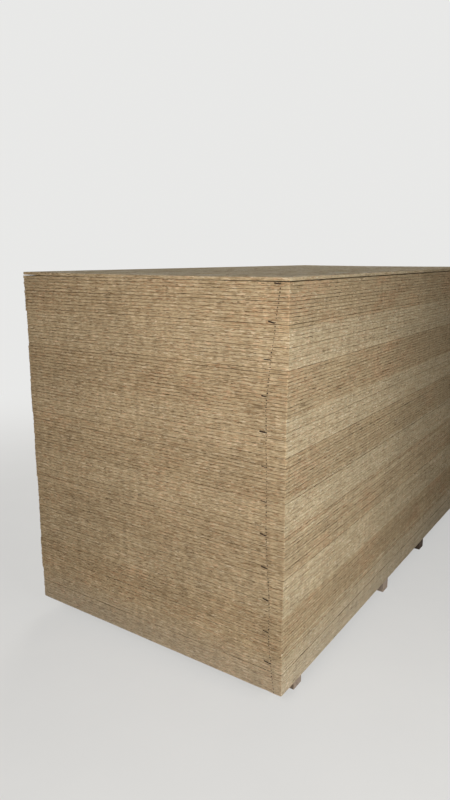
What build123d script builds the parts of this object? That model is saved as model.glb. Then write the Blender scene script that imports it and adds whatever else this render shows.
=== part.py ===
from build123d import *
import math
import os

# A tall stack of oriented strand board panels that lie flat on timber bearers.
# Millimetres, with +Z up. X runs along the panels and Y across them.
# The origin is on the floor, under the middle of the stack.

# One square-edged panel
PANEL_LENGTH = 2500.0
PANEL_WIDTH = 1250.0
PANEL_THICKNESS = 12.0
PANEL_ARRIS = 0.5

# How the panels are stacked: books of panels that were sawn together, and one more on top
BOOK_COUNT = 10
PANELS_IN_BOOK = 12
PANEL_CLEARANCE = 0.1
TOP_PANEL_BOW = 3.0

# How far a whole book, and each panel in it, may lie out of line
BOOK_SHIFT = 1.6
PANEL_SCATTER = 0.4
BOOK_TURN_X = 2.3
BOOK_TURN_Y = 1.4
PANEL_TURN_X = 2.4
PANEL_TURN_Y = 1.9

# Timber bearers that lie across the stack on the floor
BEARER_LENGTH = 1200.0
BEARER_WIDTH = 60.0
BEARER_HEIGHT = 50.0
BEARER_ARRIS = 2.5

# The outer bearers keep one margin from both ends, and the inner ones stand in between
END_MARGIN = 150.0
SECOND_BEARER = 1025.0
THIRD_BEARER = 1580.0

# Each bearer's distance from the near end of the panels, and its shift across the stack
BEARER_PLACES = (
    (END_MARGIN, -12.0),
    (SECOND_BEARER, -25.0),
    (THIRD_BEARER, -22.0),
    (PANEL_LENGTH - END_MARGIN, 8.0),
)

# Pieces that sit on each other keep this much air, so that no two faces coincide
PANEL_PITCH = PANEL_THICKNESS + PANEL_CLEARANCE
BOOK_HEIGHT = PANELS_IN_BOOK * PANEL_PITCH
FIRST_PANEL_Z = BEARER_HEIGHT + PANEL_CLEARANCE
TOP_PANEL_Z = FIRST_PANEL_Z + BOOK_COUNT * BOOK_HEIGHT
NEAR_END_X = -PANEL_LENGTH / 2.0


def swing(turn, index, count):
    """A wave from -1 to 1 that is odd about the middle of the count, so the stack stays centred."""
    return math.sin(turn * (index - (count - 1) / 2.0))


def make_panel():
    """One flat panel, its underside at Z = 0, with the sawn arrises just broken."""
    blank = Box(
        PANEL_LENGTH,
        PANEL_WIDTH,
        PANEL_THICKNESS,
        align=(Align.CENTER, Align.CENTER, Align.MIN),
    )
    faces = blank.faces().sort_by(Axis.Z)
    arrises = faces[0].edges() + faces[-1].edges()
    return chamfer(arrises, PANEL_ARRIS)


def panel_offset(book, index_in_book):
    """How far one panel lies out of line along X and Y."""
    index = book * PANELS_IN_BOOK + index_in_book
    total = BOOK_COUNT * PANELS_IN_BOOK
    along = BOOK_SHIFT * swing(BOOK_TURN_X, book, BOOK_COUNT)
    across = BOOK_SHIFT * swing(BOOK_TURN_Y, book, BOOK_COUNT)
    along += PANEL_SCATTER * swing(PANEL_TURN_X, index, total)
    across += PANEL_SCATTER * swing(PANEL_TURN_Y, index, total)
    return along, across


def make_book(panel, book):
    """The loose panels of one book, each clear of the next."""
    panels = []
    for index_in_book in range(PANELS_IN_BOOK):
        along, across = panel_offset(book, index_in_book)
        height = FIRST_PANEL_Z + book * BOOK_HEIGHT + index_in_book * PANEL_PITCH
        panels.append(Pos(along, across, height) * panel)
    return Compound(children=panels)


def make_top_panel():
    """The last panel, which has cupped: it rests along its middle and its long edges lift."""
    half = PANEL_WIDTH / 2.0
    lift = TOP_PANEL_BOW
    upper = PANEL_THICKNESS
    underside = ThreePointArc((-half, lift), (0.0, 0.0), (half, lift))
    far_edge = Line((half, lift), (half, lift + upper))
    face = ThreePointArc((half, lift + upper), (0.0, upper), (-half, lift + upper))
    near_edge = Line((-half, lift + upper), (-half, lift))
    section = make_face([underside, far_edge, face, near_edge])
    sheet = extrude(Plane.YZ * section, amount=PANEL_LENGTH / 2.0, both=True)
    return Pos(0.0, 0.0, TOP_PANEL_Z) * sheet


def make_bearer(distance, shift):
    """One sawn batten on the floor, across the stack, with its long arrises worn round."""
    blank = Box(
        BEARER_WIDTH,
        BEARER_LENGTH,
        BEARER_HEIGHT,
        align=(Align.CENTER, Align.CENTER, Align.MIN),
    )
    batten = fillet(blank.edges().filter_by(Axis.Y), BEARER_ARRIS)
    return Pos(NEAR_END_X + distance, shift, 0.0) * batten


def write(shape, node):
    """Writes one named piece to its own file."""
    export_step(shape, os.path.join("parts", node + ".step"))


def main():
    os.makedirs("parts", exist_ok=True)
    panel = make_panel()
    for book in range(BOOK_COUNT):
        write(make_book(panel, book), f"panel_book_{book + 1:02d}")
    write(make_top_panel(), "top_panel")
    for number, (distance, shift) in enumerate(BEARER_PLACES, start=1):
        write(make_bearer(distance, shift), f"bearer_{number}")


main()
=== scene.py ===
import math

import bpy
import numpy as np
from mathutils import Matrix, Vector


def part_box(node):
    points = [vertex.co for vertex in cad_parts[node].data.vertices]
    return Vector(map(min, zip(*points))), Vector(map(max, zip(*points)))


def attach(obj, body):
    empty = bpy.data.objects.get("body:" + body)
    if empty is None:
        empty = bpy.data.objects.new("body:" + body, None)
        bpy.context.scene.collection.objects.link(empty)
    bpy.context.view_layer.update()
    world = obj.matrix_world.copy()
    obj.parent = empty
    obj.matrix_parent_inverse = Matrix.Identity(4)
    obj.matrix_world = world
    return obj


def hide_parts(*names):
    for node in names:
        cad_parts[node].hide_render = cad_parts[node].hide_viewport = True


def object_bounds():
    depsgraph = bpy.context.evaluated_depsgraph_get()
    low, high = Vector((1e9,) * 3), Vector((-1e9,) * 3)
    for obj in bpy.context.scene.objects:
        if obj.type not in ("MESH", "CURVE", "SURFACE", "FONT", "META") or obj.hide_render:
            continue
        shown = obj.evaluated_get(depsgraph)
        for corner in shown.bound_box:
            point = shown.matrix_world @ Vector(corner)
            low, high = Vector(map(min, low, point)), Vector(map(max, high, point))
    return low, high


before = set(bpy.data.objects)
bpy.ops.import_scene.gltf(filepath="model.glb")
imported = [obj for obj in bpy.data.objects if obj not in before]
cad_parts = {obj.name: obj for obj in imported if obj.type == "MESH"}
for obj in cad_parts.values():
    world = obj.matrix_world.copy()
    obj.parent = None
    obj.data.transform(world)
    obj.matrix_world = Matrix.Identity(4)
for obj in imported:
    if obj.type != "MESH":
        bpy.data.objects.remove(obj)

CAD_LOW, CAD_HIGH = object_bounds()
STACK_LENGTH = CAD_HIGH[0] - CAD_LOW[0]
STACK_WIDTH = CAD_HIGH[1] - CAD_LOW[1]

# Lengths are in metres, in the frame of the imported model. X runs along the panels and Y across.
MM = 0.001
# Books take the first seed and those after it, and the other pieces have their own
BOOK_SEED = 1919
TOP_SEED = BOOK_SEED + 50
MARK_SEED = BOOK_SEED + 70
BEARER_SEED = BOOK_SEED + 90

# What the stack is made of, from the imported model
BOOKS = sorted(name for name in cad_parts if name.startswith("panel_book"))
BEARERS = sorted(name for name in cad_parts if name.startswith("bearer"))
PANELS_IN_BOOK = 12
PANEL_CLEARANCE = 0.1 * MM
PANEL_THICKNESS = 12.0 * MM
TOP_PANEL_BOW = 3.0 * MM

# Where the panels change between pale and brown, counted from the lowest, and how brown they turn
TONE_CHANGES = (
    (1, 0.0), (13, 0.8), (14, 0.1), (15, 0.95), (26, 0.0),
    (38, 0.75), (48, 0.45), (50, 1.0), (51, 0.45), (52, 0.0),
    (62, 0.9), (74, 0.1), (85, 1.0), (98, 0.2), (109, 0.95),
)
TOP_PANEL_TONE = 0.5

# How finely a panel's outline is cut up, with closer points by its corners, which a worn corner
# squeezes together
LONG_STEPS = 120
SHORT_STEPS = 60
CORNER_STEPS = (2.5 * MM, 7.0 * MM)
CORNER_SQUEEZE = 0.35

# The sawn rim of a panel: rows of points up its thickness, and how far each is worn in
RIM_HEIGHTS = (0.25 * MM, 1.5 * MM, 4.2 * MM, 7.8 * MM, 10.5 * MM, 11.75 * MM)
SAWN_INSET = 0.3 * MM
SAWN_ROUGHNESS = 0.12 * MM
# The shares of that roughness in one smooth wave for all rows, and in each row's own
WAVE_SHARE = 0.6
WAVE_PASSES = 6
ROW_SHARE = 0.8
LEAST_INSET = 0.05 * MM
ARRIS_ROUGHNESS = 0.42 * MM
PALE_ARRIS = 0.32 * MM
BROWN_ARRIS = 1.0 * MM
JOINT_DEPTH = 5.0 * MM
CORNER_WEAR = 1.5 * MM
ARRIS_WEAR = 1.2 * MM
WEAR_REACH = 4.0 * MM
WORN_SHARES = (0.3, 1.0)
CHIP_SHARES = (0.03, 0.09)
CHIP_DEPTH = 1.8 * MM
CHIP_HEIGHT = 1.3 * MM

# The one joint low in the stack that stands open, with painted shade in it as a dark line
OPEN_JOINT_BOOK = 0
OPEN_JOINT_PANEL = 7
OPEN_JOINT_SHADE = 0.7
OPEN_JOINT_HEIGHT = 2.3 * MM
OPEN_JOINT_INSET = 2.5 * MM
OPEN_JOINT_DEPTH = 14.0 * MM

# Loose strands that stand a little proud of the top panel
FLAKE_COUNT = 620
FLAKE_TURN = math.radians(27.0)
FLAKE_LENGTHS_MM = (40.0, 118.0)
FLAKE_WIDTHS_MM = (5.0, 21.0)
FLAKE_SLANTS = (0.0, 0.6)
FLAKE_WANDER = (0.85, 1.0)
FLAKE_RISES_MM = (0.08, 0.40)
FLAKE_CURLS_MM = (-0.04, 0.04)
FLAKE_FOOT = 0.8 * MM
# Their corners: shares of the length, slant and width that add up along, and of the width across
FLAKE_SHAPE = (
    (-0.5, 0.0, 0.0, -0.30), (-0.5, 1.0, 0.0, -0.5), (0.5, 0.0, -0.3, -0.46),
    (0.5, 0.0, 0.0, 0.20), (0.5, -1.0, 0.0, 0.5), (-0.5, 0.0, 0.2, 0.44),
)
LEAST_FLAKE_TONE = 0.03
FACE_DROP = 0.5 * MM
FACE_ROUGHNESS = 0.06 * MM

# Maps: a long side lies in three rows, and a short side in one
MAP_NAME = "OFBake"
MAP_ROWS = 9
MAP_MARGIN = 0.03
MAP_EDGE = 0.002
MAP_FIRST_ROW = (0, 3, 4, 7)
MAP_PARTS = (3, 1, 3, 1)
# Windows for the sides (first row's place, row height), then for the faces seen from above and
# from below (left, bottom, width, height)
BOOK_FACES_ROW = (MAP_ROWS - 0.96) / MAP_ROWS
BOOK_WINDOWS = (
    (0.0, 1.0 / MAP_ROWS),
    (0.505, BOOK_FACES_ROW, 0.49, 0.1),
    (0.005, BOOK_FACES_ROW, 0.49, 0.1),
)
TOP_WINDOWS = ((0.62, 0.022), (0.002, 0.002, 0.996, 0.61), (0.005, 0.81, 0.49, 0.18))

# Count marks on the near end: the heights and the distances from the near corner of their line
MARK_HEIGHTS = (0.06, 0.15, 0.25, 0.41, 0.60, 0.90, 1.10, 1.25, 1.49)
MARK_DISTANCES_MM = (34.0, 46.0, 55.0, 58.0, 71.0, 77.0, 80.0, 67.0, 34.0)
MARK_EVERY = 10
# How far dots lie off their line, and by what shares the strokes' sizes vary
DOT_RISE_MM = 1.4
DOT_SWAY_MM = 0.7
DOT_SIZE = 4.1 * MM
DOT_SIZES = (0.75, 1.25)
DOT_STRETCHES = (1.0, 1.3)
DOT_TILT = 1.2
DASH_LENGTH = 24.0 * MM
DASH_LENGTHS = (0.85, 1.15)
DASH_THICKNESS = 5.6 * MM
DASH_THICKNESSES = (0.65, 1.2)
DASH_TILT = math.radians(8.0)
DASH_TILTS = (0.2, 1.5)
DASH_LIFT = 1.0 * MM
DASH_SHIFT = 0.55
STROKE_POINTS = 14
STROKE_EDGES = (0.8, 1.15)
# A stroke's rings, from inside the wood to the front: how deep each lies, and its size
STROKE_RINGS = ((1.2 * MM, 1.0), (0.16 * MM, 1.0), (0.04 * MM, 0.82))


def srgb(*levels):
    """An eight-bit screen colour as the linear colour that a shader takes."""
    shares = [level / 255.0 for level in levels]
    return *[s / 12.92 if s <= 0.04045 else ((s + 0.055) / 1.055) ** 2.4 for s in shares], 1.0


class Tree:
    """The node tree of a new material or world, with short ways to add and link nodes."""

    def __init__(self, name, group=bpy.data.materials, output="OutputMaterial"):
        self.owner = group.new(name)
        self.owner.use_nodes = True
        self.nodes = self.owner.node_tree.nodes
        self.links = self.owner.node_tree.links
        self.nodes.clear()
        self.surface = self.node(output).inputs["Surface"]

    def plug(self, socket, value):
        """Links a socket to another node's output, or sets it to a plain value."""
        if isinstance(value, bpy.types.NodeSocket):
            self.links.new(value, socket)
        else:
            socket.default_value = value

    def node(self, kind, values=(), **settings):
        made = self.nodes.new("ShaderNode" + kind)
        for name, value in settings.items():
            setattr(made, name, value)
        for key, value in dict(values).items():
            self.plug(made.inputs[key], value)
        return made

    def math(self, operation, first, second=0.0, third=0.0):
        values = enumerate((first, second, third))
        return self.node("Math", values, operation=operation).outputs[0]

    def times(self, first, second):
        return self.math("MULTIPLY", first, second)

    def add_times(self, value, factor, base):
        """The value times the factor, added to the base."""
        return self.math("MULTIPLY_ADD", value, factor, base)

    def vector(self, operation, first, second):
        values = {0: first, 1: second}
        return self.node("VectorMath", values, operation=operation).outputs[0]

    def length(self, vector):
        return self.node("VectorMath", {0: vector}, operation="LENGTH").outputs["Value"]

    def turn(self, vector, angle):
        values = {"Vector": vector, "Angle": angle}
        return self.node("VectorRotate", values, rotation_type="Z_AXIS").outputs[0]

    def join(self, x, y, z):
        return self.node("CombineXYZ", {"X": x, "Y": y, "Z": z}).outputs[0]

    def split(self, vector):
        return self.node("SeparateXYZ", {"Vector": vector}).outputs

    def place(self):
        return self.node("TexCoord").outputs["Object"]

    def attribute(self, name, output="Fac"):
        return self.node("Attribute", attribute_name=name).outputs[output]

    def noise(self, vector, scale, detail=2.0):
        values = {"Vector": vector, "Scale": scale, "Detail": detail}
        return self.node("TexNoise", values).outputs["Fac"]

    def drawn_out(self, along, level, seed, pattern):
        """Noise drawn out along a side, and spread if the pattern says what to."""
        along_scale, up_scale, detail, *limits = pattern
        at = self.join(self.times(along, along_scale), self.times(level, up_scale), seed)
        noise = self.noise(at, 1.0, detail)
        return self.spread(noise, *limits) if limits else noise

    def cells(self, vector, feature="F1", dimensions="3D"):
        settings = {"feature": feature, "voronoi_dimensions": dimensions}
        return self.node("TexVoronoi", {"Vector": vector, "Scale": 1.0}, **settings).outputs

    def spread(self, value, low, high, to_low=0.0, to_high=1.0):
        """Maps low..high smoothly to to_low..to_high."""
        values = {"Value": value, "From Min": low, "From Max": high}
        values.update({"To Min": to_low, "To Max": to_high})
        return self.node("MapRange", values, interpolation_type="SMOOTHSTEP").outputs[0]

    def patches(self, vector, pattern):
        """Smooth patches of noise: the pattern is its scale and detail, then what spread takes."""
        scale, detail, *limits = pattern
        return self.spread(self.noise(vector, scale, detail), *limits)

    def ramp(self, value, stops):
        """Turns a value into a colour. A stop is its place and an eight-bit colour."""
        made = self.node("ValToRGB", {"Fac": value})
        elements = made.color_ramp.elements
        while len(elements) < len(stops):
            elements.new(1.0)
        for element, (place, *colour) in zip(elements, stops):
            element.position = place
            element.color = srgb(*colour)
        return made.outputs["Color"]

    def blend(self, share, first, second):
        """Mixes two grey values."""
        values = {0: share, 2: first, 3: second}
        return self.node("Mix", values, data_type="FLOAT").outputs[0]

    def mix(self, share, first, second, blend="MIX"):
        """Mixes two colours."""
        values = {0: share, 6: first, 7: second}
        return self.node("Mix", values, data_type="RGBA", blend_type=blend).outputs[2]

    def tint(self, share, colour, tint):
        """Multiplies a colour by a tint, as far as the share says."""
        return self.mix(share, colour, tint, "MULTIPLY")

    def shade(self, colour, factor):
        """The colour times a grey factor."""
        return self.tint(1.0, colour, self.join(factor, factor, factor))

    def shader(self, colour, height, roughness, specular, depth, strength):
        values = {"Height": height, "Distance": depth, "Strength": strength}
        values = {"Base Color": colour, "Normal": self.node("Bump", values).outputs[0]}
        values.update({"Roughness": roughness, "Specular IOR Level": specular})
        return self.node("BsdfPrincipled", values).outputs[0]

    def backdrop_seen(self):
        """One where the camera, a mirror or glass sees the backdrop, and nought for light."""
        path = self.node("LightPath").outputs
        seen = self.math("MAXIMUM", path["Is Camera Ray"], path["Is Glossy Ray"])
        return self.math("MAXIMUM", seen, path["Is Transmission Ray"])

    def show(self, shader, other=None, share=0.0):
        """Shows the shader, mixed with another as far as the share says."""
        if other is not None:
            shader = self.node("MixShader", {0: share, 1: shader, 2: other}).outputs[0]
        self.plug(self.surface, shader)
        return self.owner


# What the sawn rim's material reads from each ring of points; joint_depth sets the painted shade
# inside the joints
RIM_MARKS = ("rim", "joint_depth", "panel_tone", "brown")
# Colours of the sawn rim, from resin and bark to pale straw
RIM_STOPS = (
    (0.0, 120, 98, 72), (0.2, 151, 131, 102), (0.4, 172, 153, 123),
    (0.6, 186, 168, 138), (0.8, 201, 184, 155), (1.0, 224, 210, 184),
)
VOID_SHADE_AND_BLOT = srgb(92, 72, 52)
TORN_FIBRE_AND_HIGHLIGHT = srgb(226, 213, 188)
PALE_BOOK = (1.0, 1.03, 1.03, 1.0)
BROWN_BOOK = (0.865, 0.84, 0.785, 1.0)
RED_STRAND = (1.05, 0.915, 0.885, 1.0)
END_GRAIN = (1.03, 0.955, 0.895, 1.0)

# A strand as the saw shows it, and a clump of them: how long it shows side-on and end-on, how thick
STRAND = (32.0 * MM, 12.0 * MM, 1.15 * MM)
CLUMP = (17.0 * MM, 9.0 * MM, 2.6 * MM)
# Where a panel's core starts, how its strands wave, and how far its tone shifts all patterns
CORE = (0.45, 0.6)
WAVE_SCALE = 14.0
WAVE_HEIGHT = 6.0 * MM
PANEL_SHIFT = 61.0
# Patterns drawn out along the sides: their scales along and up, detail, and what spread takes
FIBRES = (170.0, 1500.0, 3.0)
DRIFTS = (28.0, 170.0, 2.0)
STREAKS = (9.0, 105.0, 2.0)
BUNDLES = (3.6, 45.0, 2.0)
BLOTS = (15.0, 75.0, 1.0, 0.66, 0.74)
SAW_MARKS = (45.0, 7.0, 3.0, 0.3, 0.7, 0.925, 1.075)
BRIDGES = (32.0, 85.0, 2.0, 0.40, 0.62)

# How much strands, fibres, drifts, streaks, bundles and clumps count in the rim's shade
RIM_WEIGHTS = (0.20, 0.20, 0.44, 0.44, 0.40, 0.34)
RIM_LIFT = -0.51
# How much more the clumps count on the ends, and how much less the streaks and bundles do
END_GRIT = 0.22
END_CALM = 0.2
# Which random values are voids, dark with painted shade, and pale torn fibres, partly painted
# highlights, and how strongly they show
VOID_PICK = (0.945, 0.965)
VOID_SHADE_SHARE = 0.62
TORN_AND_HIGHLIGHT_PICK = (0.055, 0.035, 0.0, 0.6)

# Smooth patches: scale, detail, and what spread takes
FLOCKS = (1.0, 3.0, 0.44, 0.62)
FLOCK_STRETCH = (5.0, 5.0, 13.0)
FLOCK_REGIONS = (1.5, 1.0, 0.38, 0.6)
STAINS = (3.1, 4.0, 0.3, 0.7, 0.95, 1.05)
GRIME_AND_SHADE_REGIONS = (1.0, 2.0, 0.36, 0.64)
GRIME_AND_SHADE_STRETCH = (3.0, 3.0, 9.0)
# How strongly these show in pale and in brown books
BLOT_SHARES = (0.12, 0.42)
FLOCK_SHARES = (0.10, 0.52)
GRIME_AND_SHADE_SHARES = (0.30, 1.0)
# Which values are reddish strands, what brown books lose on the ends, and each panel's own tone
RED_PICK = (0.86, 0.94)
END_TAN_LOSS = 0.65
PANEL_TONES = (0.07, 0.965)
# Painted light bounced from the floor on the lowest panels: its colour, its reach and its share
FLOOR_BOUNCE_LIGHT = srgb(208, 200, 188)
BOUNCE_LIGHT_REACH = (0.05, 0.24, 0.18, 0.0)

# Grime and painted shade along the arrises: its least share, and how it evens out on the ends,
# reaches and darkens
LEAST_GRIME_AND_SHADE = 0.4
END_GRIME_AND_SHADE = 0.5
END_EVENNESS = 0.6
ARRIS_GRIME_AND_SHADE = (0.0, 0.26, 0.62, 0.0)
# Painted shade inside a joint: it darkens between these depths, to the first tone where it is
# bridged and the second if not
HOLLOW_SHADE_DEPTHS = (0.05, 0.6)
HOLLOW_SHADE_TONES = (0.88, 0.18)
# How much strands, fibres and clumps stand out from the sawn side
RIM_RELIEF = (0.4, 0.3, 0.4)


def sawn_cells(t, along, level, seed, crosswise, size):
    """Three random values for each sawn strand, or clump of strands."""
    *lengths, thickness = size
    up = t.math("DIVIDE", level, thickness)
    spots = [t.join(t.math("DIVIDE", along, length), up, seed) for length in lengths]
    side_on, end_on = [t.split(t.cells(spot)["Color"]) for spot in spots]
    return [t.blend(crosswise, *values) for values in zip(side_on, end_on)]


def rim_material():
    """The sawn rim: thin strands end-on and side-on, joints darkened by grime and painted shade,
    and a tone for each book.
    """
    t = Tree("osb_sawn_rim")
    place = t.place()
    x, y, z = t.split(place)
    along = t.math("ADD", x, y)
    rim, depth, tone, brown, end = [t.attribute(name) for name in (*RIM_MARKS, "end_face")]
    seed = t.times(tone, PANEL_SHIFT)

    # Strands near the two faces run along the panel, and strands in the core run across it
    crosswise = t.math("ABSOLUTE", t.math("SUBTRACT", end, t.spread(rim, *CORE)))
    level = t.add_times(t.noise(place, WAVE_SCALE), WAVE_HEIGHT, z)
    strand = sawn_cells(t, along, level, seed, crosswise, STRAND)
    clump = sawn_cells(t, along, level, seed, crosswise, CLUMP)
    fibre = t.drawn_out(along, z, seed, FIBRES)
    drift = t.drawn_out(along, level, seed, DRIFTS)
    streak = t.drawn_out(along, level, seed, STREAKS)
    bundle = t.drawn_out(along, level, seed, BUNDLES)
    shade = RIM_LIFT
    for pattern, weight in zip((strand[0], fibre, drift, streak, bundle, clump[0]), RIM_WEIGHTS):
        shade = t.add_times(pattern, weight, shade)
    # On the ends more strands show end-on, so short clumps stand out more and long streaks less
    grit = t.times(t.math("SUBTRACT", clump[0], 0.5), END_GRIT)
    calm = t.math("SUBTRACT", 1.0, t.math("ADD", streak, bundle))
    shade = t.add_times(t.add_times(calm, END_CALM, grit), end, shade)
    colour = t.ramp(shade, RIM_STOPS)

    # Painted shade in short voids where strands broke out, dark blots, and pale torn fibres that
    # are partly painted highlights
    void = t.spread(clump[1], *VOID_PICK)
    colour = t.mix(t.times(void, VOID_SHADE_SHARE), colour, VOID_SHADE_AND_BLOT)
    blot = t.drawn_out(along, level, seed, BLOTS)
    colour = t.mix(t.times(blot, t.blend(brown, *BLOT_SHARES)), colour, VOID_SHADE_AND_BLOT)
    colour = t.mix(t.spread(clump[1], *TORN_AND_HIGHLIGHT_PICK), colour, TORN_FIBRE_AND_HIGHLIGHT)

    # The tone of the book, reddish strands that flock in the brown books, and each panel's tone
    tanned = t.times(brown, t.add_times(end, -END_TAN_LOSS, 1.0))
    colour = t.tint(1.0, colour, t.mix(tanned, PALE_BOOK, BROWN_BOOK))
    flock = t.patches(t.vector("MULTIPLY", place, FLOCK_STRETCH), FLOCKS)
    flock = t.times(flock, t.patches(place, FLOCK_REGIONS))
    red = t.add_times(flock, t.blend(tanned, *FLOCK_SHARES), clump[2])
    colour = t.tint(t.spread(red, *RED_PICK), colour, RED_STRAND)
    colour = t.tint(end, colour, END_GRAIN)
    stains = t.patches(place, STAINS)
    colour = t.shade(colour, t.times(stains, t.add_times(tone, *PANEL_TONES)))
    # Faint marks of the saw, which cut the panels of a book together
    colour = t.shade(colour, t.drawn_out(along, z, 0.0, SAW_MARKS))
    # Painted light from the floor: the lowest panels turn paler towards the bottom
    colour = t.mix(t.spread(z, *BOUNCE_LIGHT_REACH), colour, FLOOR_BOUNCE_LIGHT)

    # The joints: grime and painted shade along the arrises and painted shade inside, both broken up
    # by bridging fibres
    patch = t.drawn_out(along, z, seed, BRIDGES)
    region = t.patches(t.vector("MULTIPLY", place, GRIME_AND_SHADE_STRETCH), GRIME_AND_SHADE_REGIONS)
    patch = t.times(patch, t.add_times(region, 1.0 - LEAST_GRIME_AND_SHADE, LEAST_GRIME_AND_SHADE))
    patch = t.times(patch, t.blend(brown, *GRIME_AND_SHADE_SHARES))
    patch = t.blend(t.times(end, END_EVENNESS), patch, END_GRIME_AND_SHADE)
    arris = t.spread(rim, *ARRIS_GRIME_AND_SHADE)
    grime_and_shade = t.math("SUBTRACT", 1.0, t.times(arris, patch))
    # Painted shade inside the joints, darker with depth
    hollow_shade = t.spread(depth, *HOLLOW_SHADE_DEPTHS, 1.0, t.blend(patch, *HOLLOW_SHADE_TONES))
    colour = t.shade(colour, t.times(grime_and_shade, hollow_shade))

    height = t.times(void, -1.0)
    for pattern, relief in zip((strand[1], fibre, clump[0]), RIM_RELIEF):
        height = t.add_times(pattern, relief, height)
    shader = t.shader(colour, height, depth=0.4 * MM, strength=0.8, roughness=0.9, specular=0.1)
    return t.show(shader)


# Colours of the pressed face, from resin to cream
FACE_STOPS = (
    (0.00, 178, 148, 110), (0.15, 201, 180, 144), (0.40, 218, 202, 171),
    (0.68, 228, 215, 190), (1.00, 243, 235, 217),
)
# Layers of strands: the turn in degrees, a strand's length and width in millimetres, the bare share
FACE_LAYERS = (
    (6.0, 120.0, 20.0, 0.00),
    (-32.0, 100.0, 15.0, 0.50),
    (25.0, 115.0, 18.0, 0.50),
    (64.0, 85.0, 13.0, 0.80),
    (-12.0, 125.0, 22.0, 0.52),
    (-60.0, 80.0, 12.0, 0.84),
    (15.0, 110.0, 14.0, 0.62),
)
# Strands of another hue, then thin dark slivers: their turn, size, bare share, colour and share
HUE_LAYERS = (
    (-20.0, 80.0, 13.0, 0.960, (190, 160, 130), 0.75),
    (28.0, 90.0, 15.0, 0.945, (202, 188, 150), 0.75),
    (8.0, 105.0, 15.0, 0.930, (246, 240, 226), 0.8),
    (4.0, 90.0, 11.0, 0.975, (176, 136, 102), 0.7),
    (-22.0, 42.0, 3.4, 0.984, (134, 106, 76), 0.85),
    (33.0, 36.0, 3.0, 0.986, (116, 88, 62), 0.85),
    (3.0, 48.0, 3.6, 0.983, (146, 114, 82), 0.85),
    (70.0, 22.0, 4.2, 0.994, (96, 72, 50), 0.9),
)
FIRST_HUE_SEED = 21
LAYER_SHIFT = (7.31, 3.77)
# How strands sway, how their fibres are drawn out, and what fibres and tone count in the shade
SWAY_SCALE = 45.0
SWAY = (4.0 * MM, 4.0 * MM, 0.0)
FACE_FIBRE = (24.0, 850.0, 1.0)
FACE_FIBRE_WEIGHT = 0.40
FACE_TONE_WEIGHT = 0.62
# The painted shadow along a strand's edge, the soft limits of another hue, the patches where that
# shadow is darker, and the clouds
EDGE_SHADOW_REACH = (0.0, 0.07)
HUE_SOFTNESS = 0.004
HUE_EDGE = (0.02, 0.10)
EDGE_SHADOW_PATCHES = (30.0, 3.0, 0.4, 0.65, 1.0, 0.70)
CLOUDS = (2.3, 4.0, 0.3, 0.72, 0.95, 1.02)
# How far strands stand out: each by chance, each layer over the last, and less at their edges
STRAND_RELIEF = 0.6
LAYER_RELIEF = 0.06
EDGE_RELIEF = 0.4
# Roughness from the darkest strands to the palest
FACE_GLOSS = (0.0, 1.0, 0.95, 0.85)


def strand_cells(t, place, turn, length, width, seed):
    """One layer of flat strands: a random colour for each, the way to its edge, and its lie."""
    turned = t.turn(place, math.radians(turn))
    laid = t.vector("MULTIPLY", turned, (1.0 / (length * MM), 1.0 / (width * MM), 1.0))
    laid = t.vector("ADD", laid, (seed * LAYER_SHIFT[0], seed * LAYER_SHIFT[1], 0.0))
    pick = t.split(t.cells(laid, "F1", "2D")["Color"])
    edge = t.cells(laid, "DISTANCE_TO_EDGE", "2D")["Distance"]
    return pick, edge, turned


def strand_shade(t, turned, pick):
    """How light a strand is: its own random tone with its fibres over it."""
    fibre = t.noise(t.vector("MULTIPLY", turned, FACE_FIBRE), 1.0)
    return t.add_times(fibre, FACE_FIBRE_WEIGHT, t.times(pick, FACE_TONE_WEIGHT))


def face_material():
    """The pressed face: layers of flat strands at many angles, with thin dark slivers."""
    t = Tree("osb_pressed_face")
    place = t.place()
    flake, flake_turn = t.attribute("flake"), t.attribute("flake_turn")
    ripple = t.node("TexNoise", {"Vector": place, "Scale": SWAY_SCALE})
    sway = t.vector("SUBTRACT", ripple.outputs["Color"], (0.5, 0.5, 0.5))
    bent = t.vector("ADD", place, t.vector("MULTIPLY", sway, SWAY))
    shade, height, edges = 0.5, 0.5, 1.0
    for index, (turn, length, width, bare) in enumerate(FACE_LAYERS):
        pick, edge, turned = strand_cells(t, bent, turn, length, width, index + 1)
        shows = t.math("GREATER_THAN", pick[0], bare)
        shade = t.blend(shows, shade, strand_shade(t, turned, pick[1]))
        edges = t.blend(shows, edges, t.spread(edge, *EDGE_SHADOW_REACH))
        height = t.blend(shows, height, t.add_times(pick[2], STRAND_RELIEF, LAYER_RELIEF * index))
    on_flake = strand_shade(t, t.turn(place, flake_turn), flake)
    shade = t.blend(t.math("GREATER_THAN", flake, LEAST_FLAKE_TONE / 2.0), shade, on_flake)
    colour = t.ramp(shade, FACE_STOPS)
    # Painted shadow along each strand's edge, darker in patches
    colour = t.shade(colour, t.blend(edges, t.patches(place, EDGE_SHADOW_PATCHES), 1.0))
    for seed, (turn, length, width, bare, hue, share) in enumerate(HUE_LAYERS, FIRST_HUE_SEED):
        pick, edge, _ = strand_cells(t, bent, turn, length, width, seed)
        shows = t.times(t.spread(pick[0], bare, bare + HUE_SOFTNESS), share)
        colour = t.mix(t.times(shows, t.spread(edge, *HUE_EDGE)), colour, srgb(*hue))
    colour = t.shade(colour, t.patches(place, CLOUDS))
    height = t.times(height, t.add_times(edges, EDGE_RELIEF, 1.0 - EDGE_RELIEF))
    roughness = t.spread(shade, *FACE_GLOSS)
    return t.show(t.shader(colour, height, roughness, specular=0.0, depth=0.5 * MM, strength=0.6))


TIMBER_STOPS = (
    (0.0, 202, 186, 172), (0.45, 190, 172, 156), (0.75, 172, 151, 134), (1.0, 146, 124, 107),
)
DARK_TIMBER = (0.16, 0.145, 0.13, 1.0)
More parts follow.
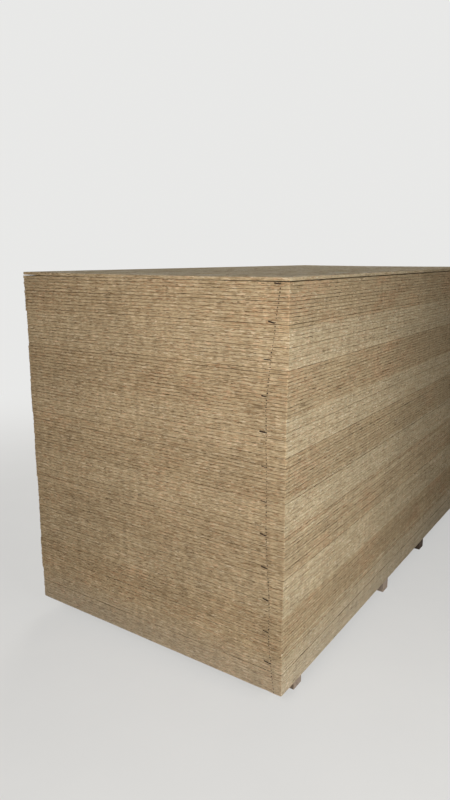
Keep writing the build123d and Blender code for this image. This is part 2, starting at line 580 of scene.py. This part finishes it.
# Dust and dirt on the timber: their patches, colour and share
TIMBER_SOIL = (
    ((16.0, 4.0, 0.35, 0.7), (186, 176, 166), 0.45),
    ((38.0, 4.0, 0.55, 0.75), (124, 110, 96), 0.4),
)
# Growth rings in a metre, and how they bend: the stretch, scale and detail, and how far
RINGS = 210.0
BEND_STRETCH = (1.0, 0.12, 1.0)
BEND_NOISE = (9.0, 3.0)
BEND_REACH = 12.0 * MM
TIMBER_FIBRE_STRETCH = (40.0, 1.0, 40.0)
TIMBER_FIBRE_NOISE = (22.0, 4.0)
RING_RELIEF = 0.3


def timber_material():
    """Sawn softwood: growth rings that run out as grain along the bearer, and site dust."""
    t = Tree("bearer_timber")
    grain = t.attribute("grain", "Vector")
    bend = t.noise(t.vector("MULTIPLY", grain, BEND_STRETCH), *BEND_NOISE)
    from_pith = t.length(t.vector("MULTIPLY", grain, (1.0, 0.0, 1.0)))
    ring = t.math("FRACT", t.times(t.add_times(bend, BEND_REACH, from_pith), RINGS))
    fibre = t.noise(t.vector("MULTIPLY", grain, TIMBER_FIBRE_STRETCH), *TIMBER_FIBRE_NOISE)
    colour = t.ramp(t.blend(0.5, ring, fibre), TIMBER_STOPS)
    for patches, soil, share in TIMBER_SOIL:
        colour = t.mix(t.times(t.patches(grain, patches), share), colour, srgb(*soil))
    # Each bearer tinted towards dark timber by its own share
    colour = t.tint(t.attribute("timber_darkness"), colour, DARK_TIMBER)
    height = t.add_times(ring, RING_RELIEF, fibre)
    shader = t.shader(colour, height, depth=0.6 * MM, strength=0.9, roughness=0.9, specular=0.15)
    return t.show(shader)


INK_STOPS = ((0.35, 30, 20, 14), (0.65, 56, 38, 27))
INK_NOISE = (420.0, 3.0)


def ink_material():
    """Dry marker ink on sawn strands."""
    t = Tree("count_mark_ink")
    patchy = t.noise(t.place(), *INK_NOISE)
    colour = t.ramp(patchy, INK_STOPS)
    shader = t.shader(colour, patchy, depth=0.1 * MM, strength=0.5, roughness=0.75, specular=0.2)
    return t.show(shader)


# The floor is lit near the stack, and far off turns into the backdrop's own pale colour
FLOOR_SIZE = 60.0
FLOOR_STOPS = ((0.3, 208, 207, 204), (0.7, 214, 213, 210))
FLECK_NOISE = (3.0, 5.0)
BACKDROP = (0.81, 0.81, 0.80, 1.0)
# Where it turns, and from what share
GLOW_FADE = (1.8, 5.0, 0.62)


def floor_material():
    """A plain pale floor that takes the stack's shadow."""
    t = Tree("studio_floor")
    place = t.place()
    fleck = t.noise(place, *FLECK_NOISE)
    colour = t.ramp(fleck, FLOOR_STOPS)
    lit = t.shader(colour, fleck, depth=1.0 * MM, strength=0.1, roughness=0.95, specular=0.1)
    glow = t.node("Emission", {"Color": BACKDROP, "Strength": 1.0}).outputs[0]
    far = t.spread(t.length(place), *GLOW_FADE)
    return t.show(lit, glow, t.times(far, t.backdrop_seen()))


def smooth_random(random, count, passes):
    """Random numbers round a closed ring, each drawn towards its neighbours."""
    values = random.normal(size=count)
    for _ in range(passes):
        values = (np.roll(values, 1) + 2.0 * values + np.roll(values, -1)) / 4.0
    return values / max(values.std(), 1e-9)


def side_steps(length, count):
    """Shares of the way along one side: even steps, and closer ones by both corners."""
    even = np.arange(count) / count
    close = np.array(CORNER_STEPS) / length
    return np.unique(np.concatenate([even, close, 1.0 - close]).round(9))


def pushed_in(distance, inset):
    """Keeps points by a corner in order, when the corner itself is worn in by the inset."""
    return np.maximum(distance, inset + CORNER_SQUEEZE * distance)


class Ring:
    """The points round a panel's outline, counter-clockwise from its near right corner."""

    long = side_steps(STACK_LENGTH, LONG_STEPS)
    short = side_steps(STACK_WIDTH, SHORT_STEPS)
    sides = (long, short, long, short)
    side = np.concatenate([np.full(len(s), i) for i, s in enumerate(sides)])
    start = np.concatenate(sides)
    stop = np.concatenate([np.append(s[1:], 1.0) for s in sides])
    size = len(side)
    at_corner = start == 0.0
    first = np.flatnonzero(at_corner)
    early = start < 0.5
    corner = np.where(early, side, (side + 1) % 4)
    length = np.where(side % 2, STACK_WIDTH, STACK_LENGTH)
    to_corner = np.minimum(start, 1.0 - start) * length
    ways = np.array([(1.0, 0.0), (0.0, 1.0), (-1.0, 0.0), (0.0, -1.0)])
    normals = np.array([(0.0, -1.0), (1.0, 0.0), (0.0, 1.0), (-1.0, 0.0)])
    forward = ways[side] * np.where(at_corner, 0.0, np.where(early, 1.0, -1.0))[:, None]
    outward = normals[side] + at_corner[:, None] * normals[side - 1]

    @classmethod
    def outline(cls, low, high):
        """The ring's points on one panel, from its lowest and highest corners."""
        corners = np.where([(0, 0), (1, 0), (1, 1), (0, 1)], high[:2], low[:2])
        first, second = corners[cls.side], corners[(cls.side + 1) % 4]
        return first + (second - first) * cls.start[:, None]

    @classmethod
    def worn(cls, outline, inset):
        """The outline drawn in by an inset, one for each point."""
        slide = pushed_in(cls.to_corner, inset[cls.first][cls.corner]) - cls.to_corner
        return outline - cls.outward * inset[:, None] + cls.forward * slide[:, None]


def panel_boxes(node):
    """The lowest and highest corner of each panel in a book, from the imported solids."""
    places = np.array([v.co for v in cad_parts[node].data.vertices])
    bottom = places[:, 2].min()
    pitch = (places[:, 2].max() - bottom + PANEL_CLEARANCE) / PANELS_IN_BOOK
    index = np.clip(((places[:, 2] - bottom) / pitch).astype(int), 0, PANELS_IN_BOOK - 1)
    panels = [places[index == panel] for panel in range(PANELS_IN_BOOK)]
    return [(panel.min(0), panel.max(0)) for panel in panels]


def brownness(panel):
    """How brown a panel is, by its number from the lowest up."""
    return [tone for first, tone in TONE_CHANGES if first <= panel][-1]


class Rim:
    """Rings of points that climb sawn sides, with what the material needs to know of each."""

    def __init__(self, random):
        self.random = random
        self.places = []
        self.marks = []
        self.brown = 0.0

    def ring(self, outline, inset, height, tone, rim=0.0, depth=0.0):
        """Adds one ring. inset and height are one number, or one for each point."""
        spot = Ring.worn(outline, np.broadcast_to(inset, Ring.size))
        self.places.append(np.column_stack([spot, np.broadcast_to(height, Ring.size)]))
        self.marks.append((rim, depth, tone, self.brown))

    def panel(self, outline, bottom, arris_inset, tone):
        """Adds one panel's sawn rim. bottom is the height of its underside."""
        wave = smooth_random(self.random, Ring.size, WAVE_PASSES) * SAWN_ROUGHNESS * WAVE_SHARE
        corner = self.random.uniform(*WORN_SHARES, 4)[Ring.corner]
        corner = corner * np.exp(-Ring.to_corner / WEAR_REACH)
        for row, height in enumerate(RIM_HEIGHTS):
            arris = row in (0, len(RIM_HEIGHTS) - 1)
            rough = ARRIS_ROUGHNESS if arris else SAWN_ROUGHNESS
            own = smooth_random(self.random, Ring.size, 1) * rough * ROW_SHARE
            wear = CORNER_WEAR + (ARRIS_WEAR if arris else 0.0)
            inset = (arris_inset if arris else SAWN_INSET) + own + wave + corner * wear
            level = bottom + height
            if arris:
                share = CHIP_SHARES[0] + (CHIP_SHARES[1] - CHIP_SHARES[0]) * self.brown
                chips = self.random.uniform(size=Ring.size) < share
                chips &= Ring.to_corner > WEAR_REACH * 2.0
                size = self.random.uniform(*WORN_SHARES, Ring.size) * chips
                inset = inset + size * CHIP_DEPTH
                level = level + size * CHIP_HEIGHT * (1.0 if row == 0 else -1.0)
            share = min(height, PANEL_THICKNESS - height) / PANEL_THICKNESS * 2.0
            self.ring(outline, np.maximum(inset, LEAST_INSET), level, tone, share)

    def open_joint(self, outline, top, tone):
        """Breaks away the last panel's upper arris, and paints shade into the joint above it."""
        self.places.pop()
        self.marks.pop()
        rough = smooth_random(self.random, Ring.size, 1) * ARRIS_ROUGHNESS
        inset = np.maximum(OPEN_JOINT_INSET + rough, SAWN_INSET)
        self.ring(outline, inset, top - OPEN_JOINT_HEIGHT, tone, depth=OPEN_JOINT_SHADE)
        self.ring(outline, OPEN_JOINT_DEPTH, top, tone, depth=1.0)

    def faces(self):
        """The quads between its rings, row by row."""
        bases = range(0, (len(self.places) - 1) * Ring.size, Ring.size)
        return [quad for base in bases for quad in band(base, base + Ring.size, Ring.size)]

    def give_to(self, mesh):
        """Writes what the material reads onto the mesh, whose other points come after the rings."""
        for name, values in zip(RIM_MARKS, zip(*self.marks)):
            give(mesh, name, np.repeat(values, Ring.size))
        give(mesh, "end_face", np.tile(Ring.side % 2, len(self.places) - 1), "FACE")


def mesh_object(name, places, faces):
    mesh = bpy.data.meshes.new(name)
    mesh.from_pydata(places, [], faces)
    made = bpy.data.objects.new(name, mesh)
    bpy.context.scene.collection.objects.link(made)
    return made


def give(mesh, name, values, domain="POINT"):
    """Gives each point or face of a mesh a number that its material reads, noughts at the end."""
    layer = mesh.attributes.new(name, "FLOAT", domain)
    whole = np.zeros(len(layer.data), np.float32)
    whole[: len(values)] = values
    layer.data.foreach_set("value", whole)


def dress(made, *materials, first_count=None):
    """Puts the materials on a mesh: the first on its first faces, and the last on the rest."""
    for material in materials:
        made.data.materials.append(material)
    if first_count is not None:
        indices = (np.arange(len(made.data.polygons)) >= first_count).astype(np.int32)
        made.data.polygons.foreach_set("material_index", indices)
    made.data.update()


def settle(made, slot, *nodes):
    """Hides the imported parts that a finished piece replaces, and ties it to the root."""
    if nodes:
        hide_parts(*nodes)
    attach(made, "root")


def band(first, second, count, order=(0, 1, 2, 3)):
    """The quads between two closed rings of points, numbered from first and from second."""
    quads = []
    for k in range(count):
        after = (k + 1) % count
        quad = (first + k, first + after, second + after, second + k)
        quads.append(tuple(quad[corner] for corner in order))
    return quads


def cap_faces(base, upwards):
    """Closes a ring with strips across the panel, and one wide face at each end."""
    steps = len(Ring.long)
    far = base + steps + len(Ring.short)
    back = far + steps
    faces = [(base + k, base + k + 1, back - k - 1, back - k) for k in range(1, steps - 1)]
    faces.append(tuple(range(base + steps - 1, far + 2)))
    faces.append((*range(back - 1, base + Ring.size), base, base + 1))
    return faces if upwards else [tuple(reversed(face)) for face in faces]


def map_piece(mesh, side_count, heights, sides_window, upper_window, under_window):
    """Lays the sides out in rows, and the faces seen from above and below in windows."""
    loops, polygons = len(mesh.loops), len(mesh.polygons)
    vertex, total = np.zeros(loops, int), np.zeros(polygons, int)
    normals, places = np.zeros(polygons * 3), np.zeros(len(mesh.vertices) * 3)
    mesh.loops.foreach_get("vertex_index", vertex)
    mesh.polygons.foreach_get("loop_total", total)
    mesh.polygons.foreach_get("normal", normals)
    mesh.vertices.foreach_get("co", places)
    owner = np.repeat(np.arange(polygons), total)
    places = places.reshape(-1, 3)[vertex]
    spots = np.zeros((loops, 2))

    on_side = owner < side_count
    step = owner[on_side] % Ring.size
    later = np.isin(np.arange(len(step)) % 4, (1, 2))
    parts = np.array(MAP_PARTS)[Ring.side[step]]
    part = np.floor(Ring.start[step] * parts + 1e-6)
    across = np.where(later, Ring.stop[step], Ring.start[step]) * parts - part
    share = heights[vertex[on_side]] / heights.max()
    row = np.array(MAP_FIRST_ROW)[Ring.side[step]] + part
    up = row + MAP_MARGIN + (1.0 - 2.0 * MAP_MARGIN) * share
    first_row, row_height = sides_window
    across = MAP_EDGE + (1.0 - 2.0 * MAP_EDGE) * across
    spots[on_side] = np.column_stack([across, first_row + row_height * up])

    upward = np.repeat(normals[2::3] > -0.5, total)
    for chosen, window in ((upward, upper_window), (~upward, under_window)):
        chosen = chosen & ~on_side
        share = (places[chosen, :2] - CAD_LOW[:2]) / (STACK_LENGTH, STACK_WIDTH)
        spots[chosen] = share * window[2:] + window[:2]
    layer = mesh.uv_layers.new(name=MAP_NAME)
    layer.uv.foreach_set("vector", spots.astype(np.float32).ravel())


def finish_board(made, node, rim, materials, heights, windows):
    """Gives a book or the top panel its materials, what these read, and its map."""
    side_count = (len(rim.places) - 1) * Ring.size
    rim.give_to(made.data)
    dress(made, *materials, first_count=side_count)
    map_piece(made.data, side_count, heights, *windows)
    settle(made, "osb", node)


def make_book(number, node, materials):
    """One book of panels: sawn rims with dark joints between them, closed above and below."""
    random = np.random.default_rng(BOOK_SEED + number)
    rim = Rim(random)
    for panel, (low, high) in enumerate(panel_boxes(node), start=1):
        outline = Ring.outline(low, high)
        tone = random.uniform()
        rim.brown = brownness(number * PANELS_IN_BOOK + panel)
        arris = PALE_ARRIS + (BROWN_ARRIS - PALE_ARRIS) * rim.brown
        if panel == 1:
            rim.ring(outline, JOINT_DEPTH, low[2], tone)
        rim.panel(outline, low[2], arris, tone)
        if number == OPEN_JOINT_BOOK and panel == OPEN_JOINT_PANEL:
            rim.open_joint(outline, high[2], tone)
        elif panel == PANELS_IN_BOOK:
            rim.ring(outline, JOINT_DEPTH, high[2], tone)
        else:
            rim.ring(outline, JOINT_DEPTH, high[2] + PANEL_CLEARANCE / 2.0, tone, depth=1.0)
    places = np.concatenate(rim.places)
    faces = rim.faces() + cap_faces(0, False)
    faces += cap_faces((len(rim.places) - 1) * Ring.size, True)
    made = mesh_object(f"book_{number + 1:02d}_panels", places, faces)
    heights = places[:, 2] - places[:, 2].min()
    finish_board(made, node, rim, materials, heights, BOOK_WINDOWS)


def bow(y):
    """How far the cupped top panel lifts at a place across the stack."""
    return TOP_PANEL_BOW * (y / (STACK_WIDTH / 2.0)) ** 2


def face_grid(ring_base, first_new, upwards):
    """The quads that fill a ring with a grid, whose own points are numbered from first_new."""
    nx, ny = len(Ring.long), len(Ring.short)
    point = np.empty((nx + 1, ny + 1), int)
    point[:nx, 0] = ring_base + np.arange(nx)
    point[nx, :ny] = ring_base + nx + np.arange(ny)
    point[:0:-1, ny] = ring_base + nx + ny + np.arange(nx)
    point[0, :0:-1] = ring_base + 2 * nx + ny + np.arange(ny)
    point[1:-1, 1:-1] = first_new + np.arange((nx - 1) * (ny - 1)).reshape(nx - 1, ny - 1)
    corners = (point[:-1, :-1], point[1:, :-1], point[1:, 1:], point[:-1, 1:])
    quads = np.stack(corners if upwards else corners[::-1], 2).reshape(-1, 4)
    return [tuple(quad) for quad in quads.tolist()]


def grid_points(low, high):
    """The grid's own points, kept in order inside the ring that it fills."""
    spots = []
    for start, stop, shares in zip(low, high, (Ring.long[1:], Ring.short[1:])):
        early = shares < 0.5
        reach = pushed_in(np.where(early, shares, 1.0 - shares) * (stop - start), JOINT_DEPTH)
        spots.append(np.where(early, start + reach, stop - reach))
    return np.array([(x, y) for x in spots[0] for y in spots[1]])


def flake_solid(random, low, high, surface):
    """One loose strand as a thin closed solid on the face, with its turn back and its tone."""
    angle = random.normal(0.0, FLAKE_TURN)
    length = random.uniform(*FLAKE_LENGTHS_MM) * MM
    width = random.uniform(*FLAKE_WIDTHS_MM) * MM
    cos, sin = math.cos(angle), math.sin(angle)
    reach = np.array([abs(cos) * length + abs(sin) * width, abs(sin) * length + abs(cos) * width])
    margin = reach / 2.0 + JOINT_DEPTH
    centre = random.uniform(low[:2] + margin, high[:2] - margin)
    slant = random.uniform(*FLAKE_SLANTS) * width
    along, slanted, wide, across = np.transpose(FLAKE_SHAPE)
    shape = np.column_stack([along * length + slanted * slant + wide * width, across * width])
    shape = shape * random.uniform(*FLAKE_WANDER, shape.shape)
    spin = np.array([(cos, sin), (-sin, cos)])
    foot = shape @ spin + centre
    crown = (shape * (1.0 - MM / np.array([length, width]))) @ spin + centre
    rise = random.uniform(*FLAKE_RISES_MM, 1) * MM
    rise = rise + random.uniform(*FLAKE_CURLS_MM, len(shape)) * MM
    lower = np.column_stack([foot, surface + bow(foot[:, 1]) - FLAKE_FOOT])
    upper = np.column_stack([crown, surface + bow(crown[:, 1]) + rise])
    return np.concatenate([lower, upper]), -angle, random.uniform(LEAST_FLAKE_TONE, 1.0)


def flake_faces(base):
    count = len(FLAKE_SHAPE)
    top = base + count
    foot = tuple(range(top - 1, base - 1, -1))
    return [foot, tuple(range(top, top + count)), *band(base, top, count)]


def make_top_panel(node, materials):
    """The cupped panel on top: a sawn rim, two pressed faces and loose strands."""
    random = np.random.default_rng(TOP_SEED)
    low, high = np.array(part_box(node))
    outline = Ring.outline(low, high)
    lift = bow(outline[:, 1])
    rim = Rim(random)
    surface = low[2] + PANEL_THICKNESS - FACE_DROP
    rim.ring(outline, JOINT_DEPTH, low[2] + lift, TOP_PANEL_TONE)
    rim.panel(outline, low[2] + lift, PALE_ARRIS, TOP_PANEL_TONE)
    rim.places[-1][:, 2] = np.minimum(rim.places[-1][:, 2], surface + lift)
    rim.ring(outline, JOINT_DEPTH, surface + lift, TOP_PANEL_TONE)
    inner = grid_points(low, high)
    rough = random.normal(0.0, FACE_ROUGHNESS, len(inner))
    lie = bow(inner[:, 1])
    places = [*rim.places, np.column_stack([inner, low[2] + lie])]
    places.append(np.column_stack([inner, surface + lie + rough]))
    ring_points = len(rim.places) * Ring.size
    board_points = ring_points + 2 * len(inner)
    faces = rim.faces() + face_grid(0, ring_points, False)
    faces += face_grid(ring_points - Ring.size, ring_points + len(inner), True)
    marks = [np.zeros((board_points, 2))]
    for index in range(FLAKE_COUNT):
        solid, *mark = flake_solid(random, low, high, surface)
        places.append(solid)
        faces += flake_faces(board_points + index * len(solid))
        marks.append(np.tile(mark, (len(solid), 1)))
    places = np.concatenate(places)
    made = mesh_object("top_panel_board", places, faces)
    for name, values in zip(("flake_turn", "flake"), np.concatenate(marks).T):
        give(made.data, name, values)
    heights = np.clip(places[:, 2] - bow(places[:, 1]) - low[2], 0.0, PANEL_THICKNESS)
    finish_board(made, node, rim, materials, heights, TOP_WINDOWS)


def stroke_solid(centre, length, thickness, tilt, random, end):
    """One pen stroke on the near end, as a flat closed solid sunk into the sawn strands."""
    angle = np.arange(STROKE_POINTS) * 2.0 * math.pi / STROKE_POINTS
    radius = thickness / 2.0 * random.uniform(*STROKE_EDGES, STROKE_POINTS)
    straight = max(length - thickness, 0.0) / 2.0
    across = np.cos(angle) * radius + np.sign(np.cos(angle)) * straight
    shape = np.column_stack([across, np.sin(angle) * radius])
    spin = np.array([(math.cos(tilt), math.sin(tilt)), (-math.sin(tilt), math.cos(tilt))])
    rings = [
        np.column_stack([np.full(STROKE_POINTS, end + depth), shape * scale @ spin + centre])
        for depth, scale in STROKE_RINGS
    ]
    return np.concatenate(rings)


def stroke_faces(base):
    count = STROKE_POINTS
    front = base + (len(STROKE_RINGS) - 1) * count
    faces = [tuple(range(base, base + count)), tuple(range(front + count - 1, front - 1, -1))]
    for first in range(base, front, count):
        faces += band(first, first + count, count, (1, 0, 3, 2))
    return faces


def make_marks(material):
    """A dot on the near end of each counted panel, and a dash beside every tenth one."""
    random = np.random.default_rng(MARK_SEED)
    distances = [distance * MM for distance in MARK_DISTANCES_MM]
    places, faces = [], []
    boxes = [box for node in BOOKS for box in panel_boxes(node)]
    for index, (low, high) in enumerate(boxes, start=1):
        middle = (low[2] + high[2]) / 2.0
        z = middle + random.uniform(-DOT_RISE_MM, DOT_RISE_MM) * MM
        y = CAD_LOW[1] + np.interp(z, MARK_HEIGHTS, distances)
        y += random.normal(0.0, DOT_SWAY_MM) * MM
        size = DOT_SIZE * random.uniform(*DOT_SIZES)
        length = size * random.uniform(*DOT_STRETCHES)
        strokes = [((y, z), length, size, random.uniform(-DOT_TILT, DOT_TILT))]
        if index % MARK_EVERY == 0:
            length = DASH_LENGTH * random.uniform(*DASH_LENGTHS)
            thickness = DASH_THICKNESS * random.uniform(*DASH_THICKNESSES)
            tilt = DASH_TILT * random.uniform(*DASH_TILTS)
            strokes.append(((y + length * DASH_SHIFT, middle + DASH_LIFT), length, thickness, tilt))
        for centre, length, thickness, tilt in strokes:
            faces += stroke_faces(len(places) * len(STROKE_RINGS) * STROKE_POINTS)
            places.append(stroke_solid(centre, length, thickness, tilt, random, low[0]))
    made = mesh_object("count_marks", np.concatenate(places), faces)
    dress(made, material)
    settle(made, "osb")


# Bearers: how round their long arrises are, how finely they are cut up, and how rough and worn
BEARER_ARRIS = 2.5 * MM
BEARER_FLAT_STEPS = 5
BEARER_RINGS = 70
BEARER_ROUGHNESS = 0.22 * MM
GROOVE_SHARE = 0.7
BEARER_END_WEAR = 0.7 * MM
BEARER_END_ROUGHNESS = 0.4 * MM
BEARER_END_RINGS = (0.72, 0.4)
# How far each bearer is tinted towards dark timber, the third almost wholly
BEARER_DARKNESS = (0.35, 0.12, 0.9, 0.3)
# Where the pith lies from a bearer's middle: somewhere sideways, and outside it above or below
PITH_SIDEWAYS = (-0.02, 0.03)
PITH_HEIGHT = 0.045


def bearer_section(width, height):
    """The rounded outline of a bearer about its middle, with the way outwards at each point."""
    half = np.array([width, height]) / 2.0 - BEARER_ARRIS
    centres = np.array([(1.0, -1.0), (1.0, 1.0), (-1.0, 1.0), (-1.0, -1.0)]) * half
    spots, ways = [], []
    for corner, centre in enumerate(centres):
        for part in (0.0, 0.5, 1.0):
            angle = math.pi / 2.0 * (corner - 1 + part)
            spots.append(centre)
            ways.append((math.cos(angle), math.sin(angle)))
        following = centres[(corner + 1) % 4]
        for part in range(1, BEARER_FLAT_STEPS):
            spots.append(centre + (following - centre) * part / BEARER_FLAT_STEPS)
            ways.append(ways[-1])
    ways = np.array(ways)
    return np.array(spots) + ways * BEARER_ARRIS, ways


def make_bearer(number, node, material):
    """One rough-sawn timber bearer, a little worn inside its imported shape."""
    random = np.random.default_rng(BEARER_SEED + number)
    low, high = np.array(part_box(node))
    middle = (low + high) / 2.0
    points, ways = bearer_section(high[0] - low[0], high[2] - low[2])
    count = len(points)
    groove = smooth_random(random, count, 1)

    def ring(section, y, inwards):
        back = np.abs(random.normal(0.0, BEARER_END_ROUGHNESS, count)) * inwards
        return np.column_stack([middle[0] + section[:, 0], y + back, middle[2] + section[:, 1]])

    ys = np.linspace(low[1], high[1], BEARER_RINGS)
    ys = np.insert(ys, (1, BEARER_RINGS - 1), (ys[0] + BEARER_END_WEAR, ys[-1] - BEARER_END_WEAR))
    rings = []
    for index, y in enumerate(ys):
        inwards = {0: 1.0, len(ys) - 1: -1.0}.get(index, 0.0)
        rough = np.abs(smooth_random(random, count, 1) + GROOVE_SHARE * groove) * BEARER_ROUGHNESS
        inset = rough + abs(inwards) * BEARER_END_WEAR
        rings.append(ring(points - ways * inset[:, None], y, inwards))
    faces = []
    for base in range(0, (len(rings) - 1) * count, count):
        faces += band(base, base + count, count, (0, 3, 2, 1))
    for outer, y, inwards in ((0, ys[0], 1.0), ((len(rings) - 1) * count, ys[-1], -1.0)):
        closing = []
        for scale in BEARER_END_RINGS:
            inner = len(rings) * count
            rings.append(ring(points * scale, y, inwards))
            closing += band(outer, inner, count)
            outer = inner
        closing.append(tuple(range(outer, outer + count)))
        faces += closing if inwards > 0.0 else [tuple(reversed(face)) for face in closing]
    places = np.concatenate(rings)
    made = mesh_object(f"bearer_{number + 1}_timber", places, faces)
    sideways = random.uniform(*PITH_SIDEWAYS)
    pith = middle + np.array([sideways, 0.0, random.choice([-1, 1]) * PITH_HEIGHT])
    layer = made.data.attributes.new("grain", "FLOAT_VECTOR", "POINT")
    layer.data.foreach_set("vector", (places - pith).astype(np.float32).ravel())
    give(made.data, "timber_darkness", np.full(len(places), BEARER_DARKNESS[number]))
    dress(made, material)
    settle(made, "bearer_timber", node)


def make_floor():
    corners = [(-1, -1, 0), (1, -1, 0), (1, 1, 0), (-1, 1, 0)]
    made = mesh_object("studio_floor", np.multiply(corners, FLOOR_SIZE), [(0, 1, 2, 3)])
    dress(made, floor_material())


# Soft lamps for the sides in view, overhead and behind: where each stands and points, its size,
# power and colour
LAMPS = {
    "side": ((-1.6, -2.75, 1.03), (-2.25, -0.6, 0.95), 1.5, 46.5, (1.0, 0.99, 0.97)),
    "top": ((0.6, 0.3, 4.2), (0.6, 0.3, 1.5), 3.0, 13.0, (1.0, 0.98, 0.95)),
    "end": ((-3.1, -0.8, 1.8), (-1.25, -0.5, 0.95), 1.2, 33.0, (1.0, 0.985, 0.96)),
    "fill": ((4.4, 3.6, 2.2), (0.0, 0.0, 0.75), 2.4, 260.0, (1.0, 0.98, 0.955)),
}
SKY = (1.0, 0.965, 0.93, 1.0)
SKY_STRENGTH = 0.08


def stand(name, data, place, way):
    """Puts a lamp or the camera in its place, looking along the way."""
    made = bpy.data.objects.new(name, data)
    made.location = place
    made.rotation_euler = way.to_track_quat("-Z", "Y").to_euler()
    bpy.context.scene.collection.objects.link(made)
    return made


def light():
    """The lamps, and an even sky behind a pale backdrop."""
    for name, (place, target, size, power, colour) in LAMPS.items():
        data = bpy.data.lights.new(name, "AREA")
        data.size, data.energy, data.color = size, power, colour
        stand(name, data, place, Vector(target) - Vector(place)).visible_camera = False
    t = Tree("studio", bpy.data.worlds, "OutputWorld")
    sky = t.node("Background", {"Color": SKY, "Strength": SKY_STRENGTH}).outputs[0]
    backdrop = t.node("Background", {"Color": BACKDROP, "Strength": 1.0}).outputs[0]
    bpy.context.scene.world = t.show(sky, backdrop, t.backdrop_seen())


# The camera's eye, its heading from +X towards +Y, its dip below level, and its lens
EYE = (-3.0161, -1.5906, 1.5791)
HEADING = math.radians(34.337)
DIP = math.radians(12.579)
LENS_MM = 28.98
SENSOR_MM = 36.0


def look():
    data = bpy.data.cameras.new("camera")
    data.lens, data.sensor_width = LENS_MM, SENSOR_MM
    level = math.cos(DIP)
    way = Vector((level * math.cos(HEADING), level * math.sin(HEADING), -math.sin(DIP)))
    bpy.context.scene.camera = stand("camera", data, EYE, way)


def main():
    osb = (rim_material(), face_material())
    timber = timber_material()
    for number, node in enumerate(BOOKS):
        make_book(number, node, osb)
    make_top_panel("top_panel", osb)
    for number, node in enumerate(BEARERS):
        make_bearer(number, node, timber)
    make_marks(ink_material())
    make_floor()
    light()
    look()
    bpy.context.scene.view_settings.view_transform = "Standard"


main()
